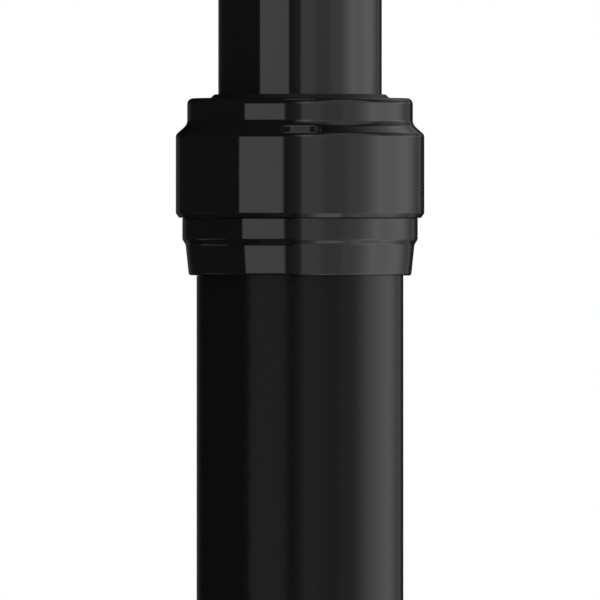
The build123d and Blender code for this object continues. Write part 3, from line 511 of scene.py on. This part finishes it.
# %% Finishes on the CAD parts
FINISHES = {"gloss_black_anodised": gloss_black, "polished_black_anodised": polished_black,
            "satin_black_anodised": satin_black, "black_alloy": black_alloy, "natural_alloy": bare_alloy,
            "black_steel": black_steel, "bright_steel": zinc_steel, "brass": brass,
            "bushing_plastic": acetal, "black_rubber": rubber, "foam": foam}
for part in frame["record"]["subparts"]:
    node = frame["nodes"][part["node"]]
    node.data.materials.clear()
    node.data.materials.append(FINISHES[part["material_slot"]])

# %% [markdown]
# ## The stanchion
# The stanchion is the tube that slides. It is plain and straight: all its quality is in the
# surface. We turn it with a bore, a groove for the lower bushing, one inside for the circlip that
# holds the rod guide, and a small chamfer at the foot.

# %% Stanchion tube
stanchion = turned("stanchion_tube_gloss", [
    (10.7, -70.0), (12.3, -70.0), (12.5, -69.8), (12.5, -66.0), (12.0, -66.0), (12.0, -54.0),
    (12.5, -54.0), (12.5, 168.0), (9.5, 168.0), (9.5, 132.1), (10.7, 132.1), (10.7, -67.4),
    (11.3, -67.4), (11.3, -68.6), (10.7, -68.6)], "stanchion_tube", gloss_black)
print("stanchion", len(stanchion.data.polygons), "faces")

# %% [markdown]
# ## The collar
# Three parts make the collar: the wiper's rubber lip hugs the stanchion, the nut holds it down,
# and the base is bonded to the lower tube. The wiper comes first. Its lip slopes up to a narrow
# edge, which scrapes the dirt off the stanchion as it goes down.

# %% Wiper seal
wiper = turned("wiper_lip", [
    (12.55, 21.7), (15.5, 21.7), (15.5, 25.2), (13.7, 25.2), (13.7, 27.1, 0.12), (13.1, 27.68, 0.1),
    (12.55, 27.68, 0.08), (12.55, 27.0, 0.08), (13.05, 25.2), (13.05, 23.3), (12.55, 22.5)],
    "wiper_seal", rubber)
print("wiper", len(wiper.data.polygons), "faces")

# %% [markdown]
# The nut's shape is all soft steps, which is why its reflections break into short upright bars.
# The radii of its outer corners are what the photograph shows. The widest is the hollow under the
# neck, 1.35 mm.

# %% Collar nut
nut = turned("collar_nut_polished", [
    (18.5, 8.8, 0.2), (19.0, 9.5, 0.2), (19.0, 21.53, 0.85), (17.25, 23.1, 1.35), (17.25, 27.1, 0.9),
    (13.75, 27.1, 0.2), (13.75, 25.2), (15.5, 25.2), (15.5, 19.2), (16.8, 19.2), (16.8, 9.6),
    (17.7, 9.6), (17.7, 8.8, 0.1)], "collar_nut", polished_black)
print("nut", len(nut.data.polygons), "faces")

# %% [markdown]
# The base tapers downwards, so that it leads the eye into the tube, and a hollow of 0.8 mm joins
# the taper to the band above. The nut is screwed on the spigot at its top.

# %% Collar base
base = turned("collar_base_polished", [
    (15.4, 0.0), (17.0, 0.0, 0.4), (17.5, 4.72, 0.8), (18.0, 5.5, 0.7), (18.0, 8.8, 0.15), (16.8, 8.8),
    (16.8, 18.0, 0.4), (15.4, 18.0)], "collar_base", polished_black)
print("base", len(base.data.polygons), "faces")

# %% [markdown]
# ## The lower tube
# The lower tube is clamped in the bicycle's frame. Inside, three grooves guide the keys, so the
# saddle can't turn. A ring may be wider at some angles: the bore's radius is a function that
# steps out to the groove's round wherever the angle falls in one.

# %% Lower tube
KEY_CIRCLE, GROOVE, BORE = 13.15, 1.55, 13.8
THIRD = 2 * math.pi / 3


def grooved_bore(angle):
    """The bore's radius at an angle, deeper in each of the three key grooves."""
    off = (angle + THIRD / 2) % THIRD - THIRD / 2
    inside = GROOVE ** 2 - (KEY_CIRCLE * math.sin(off)) ** 2
    return max(BORE, KEY_CIRCLE * math.cos(off) + math.sqrt(inside)) if inside > 0 else BORE


tube = skin("lower_tube_satin", [
    (grooved_bore, -212.05), (15.74, -212.05), (15.8, -211.99), (15.8, -211.9), (15.8, -0.1), (15.8, 0.0),
    (15.4, 0.0), (15.4, 17.8), (15.2, 18.0), (grooved_bore, 18.0)], segments=360, closed=True)
dress(tube, "outer_tube", satin_black)
print("lower tube", len(tube.data.polygons), "faces")

# %% [markdown]
# ## Softened edges
# No milled or forged edge is truly sharp: tumbling and blasting round it by a few tenths of a
# millimetre, and that round catches a thin line of light. We copy the solid's own mesh, weld it,
# melt the triangles of each flat face into one, and bevel every edge that turns by more than
# 30 degrees. Weighted normals then keep the flat faces flat in the shading.

# %% Edge softener
WELD = 0.002 * MM
FLAT_TURN, SHARP_TURN, SHADED_TURN = math.radians(0.6), math.radians(30), math.radians(50)


def softened(node, width, finish):
    """A copy of a CAD part with its sharp edges rounded by a width in millimetres."""
    shape = bmesh.new()
    shape.from_mesh(frame["nodes"][node].data)
    bmesh.ops.remove_doubles(shape, verts=shape.verts, dist=WELD)
    bmesh.ops.dissolve_limit(shape, angle_limit=FLAT_TURN, verts=shape.verts, edges=shape.edges)
    edges = [e for e in shape.edges if e.is_manifold and e.calc_face_angle() > SHARP_TURN]
    bmesh.ops.bevel(shape, geom=edges, offset=width * MM, offset_type="OFFSET", segments=3,
                    profile=0.5, affect="EDGES", clamp_overlap=True)
    mesh = bpy.data.meshes.new(node + "_softened")
    shape.to_mesh(mesh)
    shape.free()
    if "custom_normal" in mesh.attributes:
        mesh.attributes.remove(mesh.attributes["custom_normal"])
    mesh.shade_smooth()
    mesh.set_sharp_from_angle(angle=SHADED_TURN)
    piece = bpy.data.objects.new(node + "_softened", mesh)
    scene.collection.objects.link(piece)
    even_faces = piece.modifiers.new("flat faces stay flat", "WEIGHTED_NORMAL")
    even_faces.keep_sharp = True
    return dress(piece, node, finish)


print("edges over", round(SHARP_TURN * DEGREES), "degrees will be softened")

# %% [markdown]
# The head and its clamps get the widest rounds, 0.3 mm, and small machined parts get narrower
# ones. Those three are also kept out of reflections, so the collar below mirrors the room where
# they would stand in the way.

# %% Head, foot, lever and nuts
for node, width in (("saddle_head", 0.3), ("lower_cradle", 0.3), ("upper_clamp", 0.3),
                    ("actuator_body", 0.25), ("tube_end_insert", 0.1)):
    piece = softened(node, width, black_alloy)
    piece.visible_glossy = node in ("actuator_body", "tube_end_insert")
    print(piece.name, len(piece.data.polygons), "faces")
for node, width, finish in (("actuator_lever", 0.2, bare_alloy), ("lever_pivot_pin", 0.15, zinc_steel),
                            ("cable_barrel", 0.2, brass), ("front_barrel_nut", 0.25, black_steel),
                            ("rear_barrel_nut", 0.25, black_steel), ("valve_needle", 0.05, zinc_steel)):
    piece = softened(node, width, finish)
    print(piece.name, len(piece.data.polygons), "faces")

# %% [markdown]
# ## The clamp bolts
# Two socket-head cap screws pull the clamp down. The head has 24 grooves for the fingers and a
# hexagon for the key, and the shank has a rolled thread, 0.8 mm from crest to crest. All of it
# comes from the ring builder: the radius is a function of the angle, and for the thread also of
# the height, so the groove climbs once round for each pitch.

# %% Radii of the bolt
PITCH, THREAD_DEPTH, SHANK = 0.8, 0.42, 2.5
HEAD, HEAD_GROOVE, ACROSS_FLATS = 4.25, 4.0, 4.0
BOLT_POINTS, POINTS_PER_GROOVE = 72, 3


def hexagon(angle):
    """The radius of the socket's hexagon at an angle."""
    return ACROSS_FLATS / 2 / math.cos(angle % (math.pi / 3) - math.pi / 6)


def grooved_head(angle):
    """The head's side: straight grooves, one at each third point of the ring."""
    point = round(angle * BOLT_POINTS / (2 * math.pi))
    return HEAD_GROOVE if point % POINTS_PER_GROOVE == 0 else HEAD


def thread(height, fade):
    """The thread's radius at a height, with a flat root. It fades in from the plain shank."""
    def radius(angle):
        phase = (height / PITCH - angle / (2 * math.pi)) % 1
        return SHANK - THREAD_DEPTH * fade * min(1, 1.25 * abs(2 * phase - 1))
    return radius


print("bolt head", BOLT_POINTS // POINTS_PER_GROOVE, "grooves")

# %% [markdown]
# The bolt is laid from the socket's floor out over the head and up the shank, and the washer is
# turned. Front and rear are the same, 20 mm before and behind the post.

# %% Clamp bolts and washers
HEAD_TOP, THREAD_Z, BOLT_TOP = 158.95, 168.5, 195.0
WASHER_TOP, STEPS_PER_TURN, BOLT_X = 159.95, 6, 20.0

head_rings = [(0.05, 157.3), (1.85, 156.5), (hexagon, 156.45), (hexagon, 154.2), (2.5, 153.95),
              (3.7, 153.95), (4.0, 154.03), (4.2, 154.25), (HEAD, 154.5), (grooved_head, 154.7),
              (grooved_head, 158.3), (HEAD, 158.5), (HEAD, 158.8), (4.1, HEAD_TOP), (2.6, HEAD_TOP),
              (SHANK, 159.1), (SHANK, THREAD_Z - 0.2)]
step = PITCH / STEPS_PER_TURN
climb = [THREAD_Z + step * i for i in range(int((BOLT_TOP - 0.4 - THREAD_Z) / step))]
thread_rings = [(thread(z, min(1, (z - THREAD_Z) / PITCH)), z) for z in climb]
bolt_rings = head_rings + thread_rings + [(2.05, 194.75), (1.8, BOLT_TOP)]
for side, x in (("front", BOLT_X), ("rear", -BOLT_X)):
    bolt = skin(side + "_cap_screw", bolt_rings, BOLT_POINTS)
    bolt.data.transform(Matrix.Translation((x * MM, 0, 0)))
    dress(bolt, side + "_clamp_bolt", zinc_steel)
    washer = turned(side + "_washer", [
        (2.55, HEAD_TOP), (4.75, HEAD_TOP, 0.2), (4.75, WASHER_TOP, 0.15), (2.55, WASHER_TOP)],
        side + "_bolt_washer", zinc_steel, segments=96, x=x)
    print(bolt.name, len(bolt.data.polygons), "faces;", washer.name, len(washer.data.polygons), "faces")

# %% [markdown]
# ## The floor
# A plain pale floor carries the shadow. It fades out towards its rim, so it has no edge against
# the white, and from below it is clear, so the foot of the post can be seen.

# %% Floor
FLOOR_RADIUS, FADE_START, FADE_END = 1.5, 0.35, 1.2

bpy.ops.mesh.primitive_circle_add(vertices=96, radius=FLOOR_RADIUS, fill_type="NGON",
                                  location=(0, 0, cad_low.z - 0.5 * MM))
floor = bpy.context.object
floor.name = "floor"
floor.visible_glossy = False
floor_paint = bpy.data.materials.new("floor_paper_white")
floor_paint.use_nodes = True
tree = floor_paint.node_tree
tree.nodes.clear()
place = add_node(tree, "ShaderNodeTexCoord").outputs["Object"]
reach = add_node(tree, "ShaderNodeVectorMath", {"operation": "LENGTH"}, {0: place})
fade = add_node(tree, "ShaderNodeMapRange", {"interpolation_type": "SMOOTHSTEP"},
                {"Value": reach.outputs["Value"], "From Min": FADE_START, "From Max": FADE_END})
below = add_node(tree, "ShaderNodeNewGeometry").outputs["Backfacing"]
clear = add_node(tree, "ShaderNodeMath", {"operation": "MAXIMUM"}, {0: fade.outputs[0], 1: below})
paper = add_node(tree, "ShaderNodeBsdfDiffuse", inputs={"Color": linear("#F7F7F7")})
unseen = add_node(tree, "ShaderNodeBsdfTransparent")
mixed = add_node(tree, "ShaderNodeMixShader",
                 inputs={0: clear.outputs[0], 1: paper.outputs[0], 2: unseen.outputs[0]})
add_node(tree, "ShaderNodeOutputMaterial", inputs={"Surface": mixed.outputs[0]})
floor.data.materials.append(floor_paint)
print("floor at", round(floor.location.z / MM, 1), "mm")
